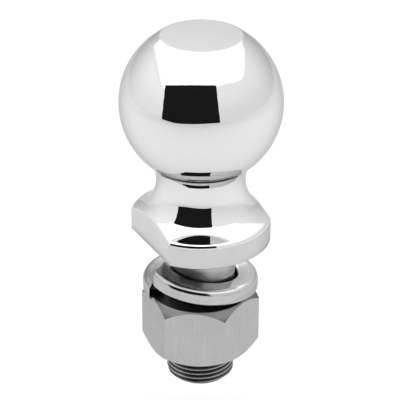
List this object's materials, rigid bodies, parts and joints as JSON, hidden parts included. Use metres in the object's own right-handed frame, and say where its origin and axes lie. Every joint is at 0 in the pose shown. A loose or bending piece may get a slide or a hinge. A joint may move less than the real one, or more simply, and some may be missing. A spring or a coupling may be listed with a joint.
{
  "type": "trailer hitch ball",
  "caption": "Chromed trailer hitch ball on a flanged, threaded shank, with a helical spring lock washer and a hex nut.",
  "frame": {"origin": "on the shank's axis at the flange's seat face, which bears on the tow bar or ball platform", "axes": "+Z along the axis up to the ball's flat top, -Z down the shank; -Y is the front and +X is the right, seen from the front"},
  "size_m": [0.0588, 0.0588, 0.1371],
  "materials": {
    "chrome": "polished chrome plate over forged steel",
    "zinc_washer": "bright plated spring steel",
    "zinc_nut": "satin plated steel with fine machining marks"
  },
  "bodies": {
    "ball_stud": {"ball_stud": "chrome"},
    "lock_washer": {"lock_washer": "zinc_washer"},
    "hex_nut": {"hex_nut": "zinc_nut"}
  },
  "joints": [
    {"name": "nut_travel", "type": "slide", "parent": "ball_stud", "child": "lock_washer", "axis": [0, 0, 1], "range_m": [-0.0365, 0.0056]},
    {"name": "nut_turn", "type": "hinge", "parent": "lock_washer", "child": "hex_nut", "pos_m": [0, 0, -0.034], "axis": [0, 0, 1], "range_deg": [-7200, 1080]}
  ],
  "couplings": [
    {"joint": "nut_travel", "follows": "nut_turn", "m_per_rad": 0.00028875}
  ]
}
